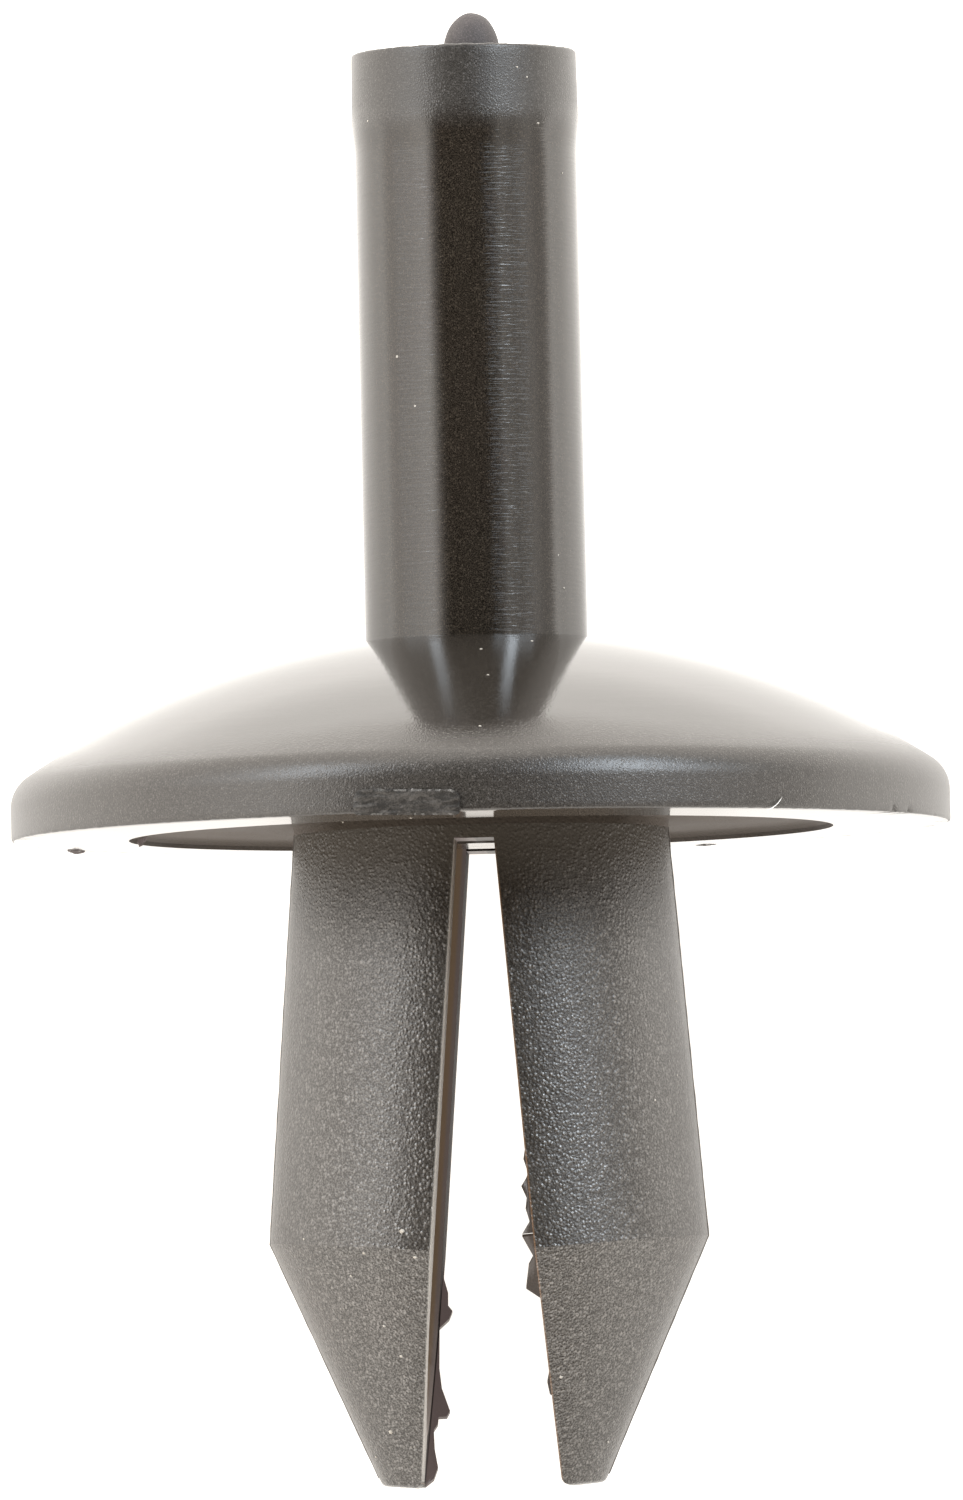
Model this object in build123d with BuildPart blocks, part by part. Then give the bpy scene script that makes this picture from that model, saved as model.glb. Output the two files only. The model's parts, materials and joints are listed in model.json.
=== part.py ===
"""Plastic push rivet, lying at rest: a domed head with two splayed legs, and a drive pin proud of its bore.

Both mouldings are built upright about the Z axis, with the head's underside at z = 0 and the legs side by
side along X. They are then laid down together, so that the rivet rests on its rim and on both leg tips.
All sizes are in millimetres.
"""

import os
from math import cos, radians, sin, tan

from build123d import *

# Head
head_d = 18.0
rim_h = 0.994  # underside to where the dome's arc meets the rim
dome_r = 15.7
shoulder_r = 0.7  # rounding from dome to rim
rim_break = 0.05
recess_d = 13.5  # shallow pocket in the underside
recess_depth = 0.15
collar_root = 0.3  # how deep the collar starts inside the head

# Flat on the rim where the gate was trimmed off
scar_w = 2.0
scar_h = 0.52
scar_proud = 0.03
scar_corner_r = 0.12
scar_lift = 0.09  # above the underside
scar_root = 0.7  # how deep the scar's block starts inside the rim
scar_azimuth = -6.6  # degrees round the rim from the front, towards +X

# Shank and legs
shank_d = 7.18
collar_len = 0.27  # unslit shank below the head's underside
left_splay = 4.65  # lean of each leg, in degrees
right_splay = 4.35
leg_len = 7.86  # along the leg, from the collar to the kink
nose_angle = 28.4  # slope of the leg's tapered end against its own axis
nose_len = 4.49
slot_w = 0.75  # gap between the legs where they leave the collar
tip_round = 0.16

# Drive pin
pin_d = 4.27
pin_proud = 11.3  # the pin's top above the mouth of its bore, which is also its travel
band_d = 4.36  # rough band under the top
band_top_d = 4.32
band_h = 1.32
band_run_out = 0.69
pin_edge = 0.06
lead_angle = 24.9  # taper of the pin's end
lead_d = 2.4
stub_d = 1.1  # broken gate stub on the pin's top
stub_h = 0.77
stub_taper = 5
stub_round = 0.34
stub_shift = 0.16

# Fit of the pin in its bore
bore_clearance = 0.03  # beside the band, the pin's widest stretch

# Torn flash along the slot. Each outline is a list of (out of the leg, down the leg) from the kink.
flash_t = 0.1
flash_depth = 0.55  # under the leg's outer surface
flash_root = 0.3  # how deep a fin starts inside its leg
left_nose_flash = [
    (0, 0.14),
    (0.03, 0.5),
    (0.13, 0.8),
    (0.15, 1.08),
    (0.24, 1.19),
    (0.19, 1.37),
    (0.02, 1.58),
    (0.08, 2.47),
    (0.16, 2.91),
    (0.35, 3.39),
    (0.30, 3.52),
    (0.14, 3.54),
    (0.14, 3.69),
    (0.07, 3.83),
    (0.12, 4.26),
    (0.21, 4.64),
    (0.15, 4.89),
    (0, 5.05),
]
right_shank_flash = [
    (0, -1.96),
    (0.06, -1.72),
    (0, -1.46),
    (0.04, -1.36),
    (0.15, -1.21),
    (0.07, -0.98),
    (0.11, -0.78),
    (0.06, -0.53),
    (0.22, -0.31),
]
right_nose_flash = [
    (0.22, -0.31),
    (0.05, 0.14),
    (0.16, 0.32),
    (0.26, 0.8),
    (0, 1.04),
]
right_nose_nick = [
    (0, 2.59),
    (0.07, 2.84),
    (0.05, 3.09),
    (0, 3.14),
]

bore_d = band_d + 2 * bore_clearance
shank_r = shank_d / 2
nose_end_r = shank_r - nose_len * tan(radians(nose_angle))
dome_h = rim_h + dome_r - (dome_r**2 - (head_d / 2) ** 2) ** 0.5
bore_mouth = 2 * dome_h  # well above the dome


def dome_height(radius):
    """Height of the dome's surface above the underside, at this distance from the axis."""
    return dome_h - dome_r + (dome_r**2 - radius**2) ** 0.5


pin_top = dome_height(bore_d / 2) + pin_proud
pin_end = -collar_len
lead_len = (pin_d - lead_d) / 2 / tan(radians(lead_angle))
driven_lead_top = pin_end + lead_len - pin_proud
bore_point = driven_lead_top - bore_d / 2 / tan(radians(lead_angle))


def flash_plane(side, slope):
    """Plane of a fin in the front (-1) or rear (1) wall of a leg, with X out of the leg and Y down it."""
    run = radians(slope)
    return Plane(
        origin=(slot_w / 2, side * (shank_r - flash_depth), -leg_len),
        x_dir=(-1, 0, 0),
        z_dir=(0, -cos(run), side * sin(run)),
    )


def make_leg(fins):
    """One leg, upright about its own axis with its collar end at z = 0, and its fins of flash."""
    with BuildPart() as leg:
        with BuildSketch(Plane.XZ):
            with BuildLine():
                Polyline(
                    (0, 0),
                    (shank_r, 0),
                    (shank_r, -leg_len),
                    (nose_end_r, -leg_len - nose_len),
                    (0, -leg_len - nose_len),
                    close=True,
                )
            make_face()
        revolve(axis=Axis.Z)
        split(bisect_by=Plane.YZ.offset(slot_w / 2), keep=Keep.TOP)
        fillet(leg.faces().sort_by(Axis.Z)[0].edges(), tip_round)
        for side, slope, outline in fins:
            root = [(-flash_root, outline[-1][1]), (-flash_root, outline[0][1])]
            with BuildSketch(flash_plane(side, slope)):
                with BuildLine():
                    Polyline(*outline, *root, close=True)
                make_face()
            extrude(amount=flash_t / 2, both=True)
    return leg.part


right_leg = make_leg(
    [
        (-1, 0, right_shank_flash),
        (-1, nose_angle, right_nose_flash),
        (-1, nose_angle, right_nose_nick),
    ]
)
left_leg = make_leg([(-1, nose_angle, left_nose_flash)])

# Drive pin
with BuildPart() as drive_pin:
    with BuildSketch(Plane.XZ):
        with BuildLine():
            Polyline(
                (0, pin_end),
                (lead_d / 2, pin_end),
                (pin_d / 2, pin_end + lead_len),
                (pin_d / 2, pin_top - band_h - band_run_out),
                (band_d / 2, pin_top - band_h),
                (band_top_d / 2, pin_top),
                (0, pin_top),
                close=True,
            )
        make_face()
    revolve(axis=Axis.Z)
    fillet(drive_pin.faces().sort_by(Axis.Z)[-1].edges(), pin_edge)
    with BuildSketch(Plane.XY.offset(pin_top)):
        with Locations((stub_shift, 0)):
            Circle(stub_d / 2)
    extrude(amount=stub_h, taper=stub_taper)
    fillet(drive_pin.faces().sort_by(Axis.Z)[-1].edges(), stub_round)

# Head, collar and legs: one moulding
with BuildPart() as rivet_body:
    with BuildSketch(Plane.XZ):
        with BuildLine():
            Line((0, dome_h), (0, 0))
            Line((0, 0), (head_d / 2, 0))
            Line((head_d / 2, 0), (head_d / 2, rim_h))
            RadiusArc((head_d / 2, rim_h), (0, dome_h), -dome_r)
        make_face()
        rim_corners = vertices().group_by(Axis.X)[-1].sort_by(Axis.Y)
        fillet(rim_corners[-1], shoulder_r)
        fillet(vertices().group_by(Axis.X)[-1].sort_by(Axis.Y)[0], rim_break)
    revolve(axis=Axis.Z)

    with BuildSketch(Plane.XY):
        Circle(recess_d / 2)
    extrude(amount=recess_depth, mode=Mode.SUBTRACT)
    with BuildSketch(Plane.XY.offset(-collar_len)):
        Circle(shank_r)
    extrude(amount=collar_len + collar_root)

    # The rear of the left leg is the front of the right one, turned half round the axis
    for leg_part, azimuth, lean in ((right_leg, 0, right_splay), (left_leg, 180, left_splay)):
        leg_root = Location((0, 0, -collar_len), (0, 0, azimuth))
        with Locations(leg_root * Location((0, 0, 0), (0, -lean, 0))):
            add(leg_part)

    scar_face = Plane.XZ.rotated((0, 0, scar_azimuth)).offset(head_d / 2 + scar_proud)
    with BuildSketch(scar_face):
        with Locations((0, scar_lift + scar_h / 2)):
            RectangleRounded(scar_w, scar_h, scar_corner_r)
    extrude(amount=-scar_root)

    with BuildSketch(Plane.XZ):
        with BuildLine():
            Polyline(
                (0, bore_mouth),
                (bore_d / 2, bore_mouth),
                (bore_d / 2, driven_lead_top),
                (0, bore_point),
                close=True,
            )
        make_face()
    revolve(axis=Axis.Z, mode=Mode.SUBTRACT)


def laid_down(shape, tilt):
    """A shape laid on its back, with the rivet's axis at this angle to the floor and the pin's end up."""
    return Rotation(tilt - 90, 0, 0) * shape


def rest_tilt(within=1e-5):
    """Angle of the axis at which the rim and the leg tips touch the floor together, found by halving."""
    head = split(rivet_body.part, Plane.XY.offset(-collar_len), keep=Keep.TOP)
    legs = split(rivet_body.part, Plane.XY.offset(-collar_len), keep=Keep.BOTTOM)
    flat, steep = 0, 90
    while steep - flat > within:
        tilt = (flat + steep) / 2
        rim_low = laid_down(head, tilt).bounding_box().min.Z
        tips_low = laid_down(legs, tilt).bounding_box().min.Z
        if tips_low > rim_low:
            flat = tilt
        else:
            steep = tilt
    return tilt


# Both pieces lie on the floor, z = 0, with the origin under the middle of their box
tilt = rest_tilt()
box = laid_down(Compound([rivet_body.part, drive_pin.part]), tilt).bounding_box()
rest_place = Pos(-box.center().X, -box.center().Y, -box.min.Z) * Rotation(tilt - 90, 0, 0)

os.makedirs("parts", exist_ok=True)
for name, piece in (("rivet_body", rivet_body), ("drive_pin", drive_pin)):
    laid_piece = rest_place * piece.part
    laid_piece.label = name
    export_step(laid_piece, f"parts/{name}.step")
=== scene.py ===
"""Looks of the plastic push rivet: its moulded head and split legs, the drive pin, and the studio.

Every piece is shaped upright in metres, with the head's underside at z = 0, the legs side by side along X and
the front of the rivet towards -Y. The upright frame is then laid down with the rivet.
"""

import json
from math import asin, atan2, cos, dist, pi, radians, sin, sqrt, tan

import bmesh
import bpy
from mathutils import Matrix, Vector, noise


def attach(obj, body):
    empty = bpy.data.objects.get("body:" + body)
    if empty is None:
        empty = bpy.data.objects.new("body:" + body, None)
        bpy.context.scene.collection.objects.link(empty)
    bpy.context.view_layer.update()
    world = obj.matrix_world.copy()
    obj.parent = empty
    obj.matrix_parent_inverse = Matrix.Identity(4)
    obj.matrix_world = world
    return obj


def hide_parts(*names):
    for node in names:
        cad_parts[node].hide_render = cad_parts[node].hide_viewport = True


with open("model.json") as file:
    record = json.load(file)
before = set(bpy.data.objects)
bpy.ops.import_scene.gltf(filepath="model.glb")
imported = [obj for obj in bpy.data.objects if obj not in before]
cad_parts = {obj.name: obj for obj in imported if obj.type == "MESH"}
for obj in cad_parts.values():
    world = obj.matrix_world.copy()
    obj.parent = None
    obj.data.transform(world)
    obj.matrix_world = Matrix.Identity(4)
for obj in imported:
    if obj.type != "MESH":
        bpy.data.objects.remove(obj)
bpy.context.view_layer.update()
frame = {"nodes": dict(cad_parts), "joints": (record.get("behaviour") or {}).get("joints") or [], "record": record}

MM = 0.001
MICRON = 1e-6

# Head, in millimetres
HEAD_R = 9.0
RIM_H = 0.994  # where the dome's arc meets the rim
DOME_R = 15.7
SHOULDER_R = 0.7
RIM_BREAK = 0.05
RECESS_R = 6.75
RECESS_DEPTH = 0.15
UNDERSIDE_DISH = 0.03  # the annulus hangs this much lower at the recess than at the rim
DOME_H = RIM_H + DOME_R - sqrt(DOME_R**2 - HEAD_R**2)

# Legs
SHANK_R = 3.59
COLLAR_LEN = 0.27  # the unslit length under the head
LEFT_SPLAY = radians(4.65)
RIGHT_SPLAY = radians(4.35)
LEG_LEN = 7.86  # from the collar to the kink
NOSE_ANGLE = radians(28.4)
NOSE_LEN = 4.49  # from the kink to the tip
HALF_SLOT = 0.375  # from a leg's own middle plane to its slot wall

# Drive pin
PIN_R = 2.135
PIN_PROUD = 11.3  # above the bore's mouth
BAND_R = 2.18
BAND_TOP_R = 2.16
BAND_H = 1.32
BAND_RUN_OUT = 0.69  # length in which the band goes over to the shaft
PIN_EDGE = 0.06
LEAD_ANGLE = radians(24.9)
LEAD_R = 1.2  # at the pin's flat end
BORE_R = BAND_R + 0.03
STUB_R = 0.55
STUB_H = 0.77
STUB_SHIFT = 0.16  # towards +X

# Gate scar on the rim
SCAR_W = 2.0
SCAR_H = 0.48
SCAR_PROUD = 0.03
SCAR_LIFT = -0.06  # its lower lip hangs just below the rim
SCAR_CORNER_R = 0.2
SCAR_FOOT_R = 0.07  # its two lower corners
SCAR_LEAN = 0.027  # drop of its edges towards the right end
SCAR_LIP = 0.035  # width of the burr round its face
SCAR_SPACING = 0.02  # between the points of its outline
SCAR_AZIMUTH = radians(-6.6)  # from the front, positive towards +X
RIM_NICKS = (radians(62.7), radians(66.8))  # the same way round


def dome_height(radius):
    """Height of the dome above the underside, in millimetres."""
    return DOME_H - DOME_R + sqrt(DOME_R**2 - radius**2)


PIN_TOP = dome_height(BORE_R) + PIN_PROUD
BAND_FOOT = PIN_TOP - BAND_H
PLAIN_GLOSS = 0.5  # the shader's own level of shine
CREASE = radians(24)  # faces that turn by more than this meet in a sharp edge

# Finish numbers of the head, of the gate scar and of the legs
SKIN, POLISH, RECESS, BORE = range(4)
SCAR_CUT, SCAR_LIT_BURR = range(2)
SHANK, NOSE, SLOT, LEG_BORE, FLASH = range(5)


# ---------------------------------------------------------------- the frame that the rivet is shaped in


def upright_frame():
    """Matrix from the upright rivet to the rivet lying down, by the record's shank and the pin's slide."""
    shank = next(m for m in frame["record"]["mounts"] if m["name"] == "shank")
    slide = frame["joints"][0]
    up = -Vector(slide["axis"]).normalized()
    right = Vector((1, 0, 0))
    back = up.cross(right)
    turn = Matrix((right, back, up)).transposed().to_4x4()
    return Matrix.Translation(shank["pos_m"]) @ turn


LAID = upright_frame()


# ---------------------------------------------------------------- camera


def aim_camera():
    """Long lens, square to the two legs and a little under the head's plane."""
    distance = 0.339
    turn, dip, roll = radians(2.2), radians(-2.87), radians(1.3)
    aim = Vector((0.000044, 0, 0.00157))
    towards = Vector((sin(turn) * cos(dip), -cos(turn) * cos(dip), sin(dip)))
    camera = bpy.data.objects.new("camera", bpy.data.cameras.new("camera"))
    camera.data.lens = 424.5
    camera.data.sensor_width = 36
    camera.data.clip_start = 0.05
    camera.data.clip_end = 10
    facing = towards.to_track_quat("Z", "Y").to_matrix().to_4x4()
    upright = Matrix.Translation(aim + towards * distance) @ facing @ Matrix.Rotation(-roll, 4, "Z")
    camera.matrix_world = LAID @ upright
    bpy.context.scene.collection.objects.link(camera)
    bpy.context.scene.camera = camera


# ---------------------------------------------------------------- shader building blocks


class Nodes:
    """A node tree with short calls to add and join its nodes."""

    def __init__(self, tree):
        self.tree = tree

    def add(self, kind, inputs=(), **settings):
        """A new node of a kind, with its inputs and settings."""
        node = self.tree.nodes.new(kind)
        for key, value in settings.items():
            setattr(node, key, value)
        self.fill(node, dict(inputs))
        return node

    def feed(self, socket, value):
        """Link a value that varies to a socket, or set one that is the same all over."""
        if isinstance(value, bpy.types.NodeSocket):
            self.tree.links.new(value, socket)
        else:
            socket.default_value = value

    def fill(self, node, inputs):
        """Feed a node's inputs, given by name or number."""
        for socket, value in inputs.items():
            self.feed(node.inputs[socket], value)

    def place(self):
        """The spot on the piece, in the upright frame, in metres."""
        return self.add("ShaderNodeTexCoord").outputs["Object"]

    def place_parts(self):
        """The spot's distance to the right, to the back and up."""
        return self.add("ShaderNodeSeparateXYZ", {0: self.place()}).outputs

    def math(self, operation, a, b=0.0, c=0.0):
        return self.add("ShaderNodeMath", {0: a, 1: b, 2: c}, operation=operation).outputs[0]

    def remap(self, value, low, high, to_low=0.0, to_high=1.0):
        """A value carried from one range to another, and held at its ends."""
        inputs = {"Value": value, "From Min": low, "From Max": high, "To Min": to_low, "To Max": to_high}
        return self.add("ShaderNodeMapRange", inputs).outputs["Result"]

    def blend(self, share, a, b):
        """From colour a at a share of 0 to colour b at 1."""
        node = self.add("ShaderNodeMix", data_type="RGBA")
        for name, value in {"Factor": share, "A": a, "B": b}.items():
            self.feed(next(s for s in node.inputs if s.name == name and s.enabled), value)
        return next(s for s in node.outputs if s.enabled)

    def bump(self, height, distance, **inputs):
        """A normal tilted by a height, which rises by a distance in metres."""
        inputs |= {"Height": height, "Distance": distance}
        return self.add("ShaderNodeBump", inputs).outputs["Normal"]


def new_group(name, inputs, outputs):
    """An empty node group, with the nodes at its two ends. Its float inputs are given by their defaults."""
    tree = bpy.data.node_groups.new(name, "ShaderNodeTree")
    for key, default in inputs.items():
        socket = tree.interface.new_socket(key, in_out="INPUT", socket_type="NodeSocketFloat")
        socket.default_value = default
    for key in outputs:
        tree.interface.new_socket(key, in_out="OUTPUT", socket_type="NodeSocketFloat")
    nodes = Nodes(tree)
    return nodes, nodes.add("NodeGroupInput"), nodes.add("NodeGroupOutput")


def spark_grain_group():
    """Pebbled grain of a spark-eroded mould: its height, and a glint share mixing fine mottle with painted glint.
    """
    nodes, given, out = new_group("spark_grain", {"Scale": 14000.0, "Coarse": 0.4}, ("Height", "Glint"))
    place, scale = nodes.place(), given.outputs["Scale"]

    def ripple(finer):
        inputs = {"Vector": place, "Scale": nodes.math("MULTIPLY", scale, finer), "Detail": 1.0}
        return nodes.add("ShaderNodeTexNoise", inputs).outputs["Fac"]

    pebble = nodes.add("ShaderNodeTexVoronoi", {"Vector": place, "Scale": scale}).outputs
    crown = nodes.remap(pebble["Distance"], 0.62, 0.12)
    chance = nodes.add("ShaderNodeSeparateColor", {0: pebble["Color"]}).outputs[0]
    fine, swell = ripple(2.1), ripple(0.4)
    tall = nodes.remap(chance, 0.0, 1.0, 0.35, 1.0)
    height = nodes.math("MULTIPLY_ADD", crown, tall, nodes.math("MULTIPLY", fine, 0.5))
    height = nodes.math("MULTIPLY_ADD", swell, given.outputs["Coarse"], height)
    # The glint share: a painted glint on the crowns of some pebbles, mixed with fine mottle
    lit = nodes.math("MULTIPLY", nodes.math("POWER", chance, 2.0), crown)
    lit = nodes.math("MULTIPLY_ADD", nodes.remap(fine, 0.35, 0.65), 0.4, nodes.math("MULTIPLY", lit, 0.6))
    nodes.fill(out, {"Height": height, "Glint": lit})
    return nodes.tree


def turning_group():
    """Fine rings left round a turned mould, as a height and as a streak mask."""
    nodes, given, out = new_group("turning_rings", {"Scale": 12000.0, "Wander": 0.07}, ("Height", "Streak"))
    part = nodes.place_parts()
    across = nodes.math("MULTIPLY", part[0], given.outputs["Wander"])
    along = nodes.math("MULTIPLY", part[1], given.outputs["Wander"])
    rings = nodes.add("ShaderNodeCombineXYZ", {0: across, 1: along, 2: part[2]}).outputs[0]
    inputs = {"Vector": rings, "Scale": given.outputs["Scale"], "Detail": 3.0, "Roughness": 0.65}
    fine = nodes.add("ShaderNodeTexNoise", inputs).outputs["Fac"]
    nodes.fill(out, {"Height": fine, "Streak": nodes.remap(fine, 0.56, 0.74)})
    return nodes.tree


def specks_group():
    """Sparse pale specks of dust, as a mask."""
    nodes, given, out = new_group("dust_specks", {"Scale": 3000.0, "Share": 0.02, "Size": 0.08}, ("Mask",))
    inputs = {"Vector": nodes.place(), "Scale": given.outputs["Scale"]}
    cells = nodes.add("ShaderNodeTexVoronoi", inputs).outputs
    chance = nodes.add("ShaderNodeSeparateColor", {0: cells["Color"]}).outputs[0]
    picked = nodes.math("LESS_THAN", chance, given.outputs["Share"])
    near = nodes.math("LESS_THAN", cells["Distance"], given.outputs["Size"])
    nodes.fill(out, {"Mask": nodes.math("MULTIPLY", picked, near)})
    return nodes.tree


def cloud_group():
    """Soft uneven tone of a handled moulding, from 0 to 1."""
    nodes, given, out = new_group("cloudy_tone", {"Scale": 350.0}, ("Tone",))
    inputs = {"Vector": nodes.place(), "Scale": given.outputs["Scale"], "Detail": 3.0, "Roughness": 0.55}
    cloud = nodes.add("ShaderNodeTexNoise", inputs).outputs["Fac"]
    nodes.fill(out, {"Tone": nodes.remap(cloud, 0.3, 0.7)})
    return nodes.tree


GRAIN = spark_grain_group()
TURNING = turning_group()
SPECKS = specks_group()
CLOUD = cloud_group()


def use(nodes, group, **inputs):
    """A group placed in a material, with its own values."""
    return nodes.add("ShaderNodeGroup", inputs, node_tree=group).outputs


def height_window(nodes, low, high):
    """Share that rises from 0 to 1 between two heights on the upright rivet, in millimetres."""
    return nodes.remap(nodes.place_parts()[2], low * MM, high * MM)


def from_slot(nodes, across, height, splay, side=1):
    """Distance of a spot from the slot's middle, in metres, in the frame of the splayed leg on its side."""
    down = nodes.math("MULTIPLY_ADD", height, sin(splay), COLLAR_LEN * MM * sin(splay))
    return nodes.math("MULTIPLY_ADD", across, side * cos(splay), down)


def slot_edge(nodes, side, width):
    """Share of the strip of a leg's front beside its slot, on the side +1 (right) or -1 (left)."""
    part = nodes.place_parts()
    out = from_slot(nodes, part[0], part[2], RIGHT_SPLAY if side > 0 else LEFT_SPLAY, side)
    strip = nodes.remap(out, (HALF_SLOT + width) * MM, (HALF_SLOT + width - 0.02) * MM)
    strip = nodes.math("MULTIPLY", strip, nodes.math("GREATER_THAN", out, (HALF_SLOT - 0.05) * MM))
    return nodes.math("MULTIPLY", strip, nodes.math("LESS_THAN", part[1], 0.0))


def opened(material):
    """A material's nodes, and its shader."""
    nodes = Nodes(material.node_tree)
    return nodes, nodes.tree.nodes["Principled BSDF"]


def new_material(name):
    """A material with its nodes and its shader."""
    material = bpy.data.materials.new(name)
    material.use_nodes = True
    return material, *opened(material)


def tone(colour, level=1.0):
    """A plain colour at a level of brightness, as a socket takes it."""
    return (*(level * part for part in colour), 1)


def sawn_fleck(nodes, low):
    """Speckled share of a sawn face, from a lowest value up to 1."""
    return nodes.remap(use(nodes, GRAIN, Scale=20000.0)["Glint"], 0.0, 0.7, low, 1.0)


def paint_slot_highlights(nodes, colour):
    """A colour with a painted highlight on the strip beside each slot: pale flecks on the left leg, orange-brown
    on the right.
    """
    pale = nodes.math("MULTIPLY", slot_edge(nodes, -1, 0.03), sawn_fleck(nodes, 0.45))
    colour = nodes.blend(pale, colour, tone((0.16, 0.15, 0.135)))
    return nodes.blend(slot_edge(nodes, 1, 0.035), colour, tone((0.11, 0.06, 0.03)))


def plastic(
    name, dark, light, roughness, grain=0.0, scale=14000.0, coarse=0.4, glint=0.0, hollow_shade=0.0, edges=False,
    shade=1.0, index=1.5,
):
    """Moulded plastic, cloudy from dark to light, with spark grain in micrometres. The grain's glint share paints
    a highlight on its crowns and shade in its hollows into the colour, and the share for the hollows paints both
    into the gloss.

    Edges adds a painted highlight on the strip beside each slot. Shade is a painted shade close under the head:
    the share of the gloss that is left there, where the colour goes over to an even tone paler than the grain,
    a painted fill light.
    """
    material, nodes, shader = new_material(name)
    cloud = use(nodes, CLOUD)["Tone"]
    colour = nodes.blend(cloud, tone(dark), tone(light))
    gloss = None
    if grain:
        spark = use(nodes, GRAIN, Scale=scale, Coarse=coarse)
        nodes.fill(shader, {"Normal": nodes.bump(spark["Height"], grain * MICRON)})
        if glint:
            # Painted glint in the colour: painted shade in the grain's hollows, a painted highlight on its crowns
            hollow_shade_colour = nodes.blend(cloud, tone(dark, 0.3), tone(light, 0.3))
            crown_glint_colour = nodes.blend(cloud, tone(dark, glint), tone(light, glint))
            colour = nodes.blend(spark["Glint"], hollow_shade_colour, crown_glint_colour)
        if hollow_shade:
            # Painted light in the gloss too: less shine in the grain's hollows, more on its crowns
            dull, shiny = PLAIN_GLOSS * (1 - hollow_shade), PLAIN_GLOSS + 0.3 * hollow_shade
            gloss = nodes.remap(spark["Glint"], 0.1, 0.6, dull, shiny)
    # Painted highlight along the strip beside each slot
    if edges:
        colour = paint_slot_highlights(nodes, colour)
    if shade < 1:
        # Painted shade close under the head: the gloss is cut; the colour goes over to an even tone, a painted
        # fill light
        level = nodes.remap(height_window(nodes, -2.5, -0.5), 0.0, 1.0, 1.0, shade)
        gloss = nodes.math("MULTIPLY", level, PLAIN_GLOSS if gloss is None else gloss)
        colour = nodes.blend(height_window(nodes, -1.3, -0.2), colour, tone((0.055, 0.047, 0.038)))
    rough = nodes.remap(cloud, 0.0, 1.0, roughness * 0.88, roughness * 1.12)
    nodes.fill(shader, {"Base Color": colour, "Roughness": rough, "IOR": index})
    if gloss is not None:
        nodes.fill(shader, {"Specular IOR Level": gloss})
    return material


def paint_shade_before_shank(material):
    """Painted shade: darken a finish, and cut its gloss, where the shank stands close behind it, in front of the
    rivet.
    """
    nodes, shader = opened(material)
    part = nodes.place_parts()
    aside = nodes.math("ABSOLUTE", part[0])
    open_side = nodes.remap(aside, (SHANK_R - 0.9) * MM, (SHANK_R + 0.1) * MM)
    free = nodes.math("MAXIMUM", open_side, nodes.math("GREATER_THAN", part[1], 0.0))
    plain = shader.inputs["Base Color"].links[0].from_socket
    # The even dark brown of the painted shade
    colour = nodes.blend(free, tone((0.05, 0.041, 0.033)), plain)
    gloss = nodes.remap(free, 0.0, 1.0, 0.02, PLAIN_GLOSS)
    nodes.fill(shader, {"Base Color": colour, "Specular IOR Level": gloss})


def underside_plastic():
    """Polished ring of the head's underside, with painted shade in front of the shank."""
    material = plastic("underside_polish", (0.018, 0.015, 0.012), (0.024, 0.02, 0.016), 0.08)
    paint_shade_before_shank(material)
    return material


def recess_plastic():
    """Matte floor of the recess round the shank, with painted shade in front of it."""
    material = plastic("recess_matte", (0.066, 0.052, 0.042), (0.084, 0.067, 0.053), 0.72, grain=8)
    paint_shade_before_shank(material)
    return material


def bore_plastic():
    """Bore of the legs, glowing with painted light for what soaks through them: brown, and greyer close to the
    slot's far edge.
    """
    material = plastic("bore_painted_glow", (0.12, 0.092, 0.07), (0.15, 0.115, 0.09), 0.5, grain=4)
    nodes, shader = opened(material)
    part = nodes.place_parts()
    out = from_slot(nodes, nodes.math("ABSOLUTE", part[0]), part[2], LEFT_SPLAY)
    edge = nodes.remap(out, (HALF_SLOT + 0.1) * MM, (HALF_SLOT + 0.05) * MM)
    # Painted glow standing for light that soaks through the walls
    glow = nodes.blend(edge, tone((0.1, 0.068, 0.042)), tone((0.085, 0.07, 0.068)))
    nodes.fill(shader, {"Emission Color": glow, "Emission Strength": 0.75})
    return material


def slot_plastic():
    """Sawn-looking walls of the slot: a pale painted highlight on the front halves, dull purple-grey on the far
    ones.
    """
    material = plastic("slot_wall_painted_highlight", (0.05, 0.04, 0.038), (0.06, 0.049, 0.047), 0.6)
    nodes, shader = opened(material)
    front = nodes.math("LESS_THAN", nodes.place_parts()[1], 0.0)
    plain = shader.inputs["Base Color"].links[0].from_socket
    # Pale painted highlight on the front halves of the slot walls
    pale_highlight = nodes.math("MULTIPLY", front, sawn_fleck(nodes, 0.5))
    colour = nodes.blend(pale_highlight, plain, tone((0.5, 0.46, 0.41)))
    # Painted shade on the far halves: their gloss is cut well below the front's
    gloss = nodes.remap(front, 0.0, 1.0, 0.08, 0.4)
    nodes.fill(shader, {"Base Color": colour, "Specular IOR Level": gloss})
    return material


def flash_plastic():
    """Thin torn flash: dark brown on the right leg, and a painted glow on the left one, for light through it."""
    material = plastic("flash_web_painted_glow", (0.03, 0.022, 0.017), (0.042, 0.031, 0.025), 0.4, grain=4)
    nodes, shader = opened(material)
    left = nodes.math("LESS_THAN", nodes.place_parts()[0], 0.0)
    # Painted glow on the flash of the left leg
    lit = nodes.math("MULTIPLY", left, 0.08)
    nodes.fill(shader, {"Emission Color": tone((1, 0.76, 0.72)), "Emission Strength": lit})
    return material


def shank_plastic():
    """Spark-eroded skin of the legs above the kink, with painted slot highlights and painted shade under the head.
    """
    return plastic(
        "shank_grain", (0.038, 0.03, 0.022), (0.048, 0.039, 0.03), 0.34, grain=8.5, scale=14000, coarse=0.8,
        glint=1.3, hollow_shade=0.5, edges=True, shade=0.25, index=1.77,
    )


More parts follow.
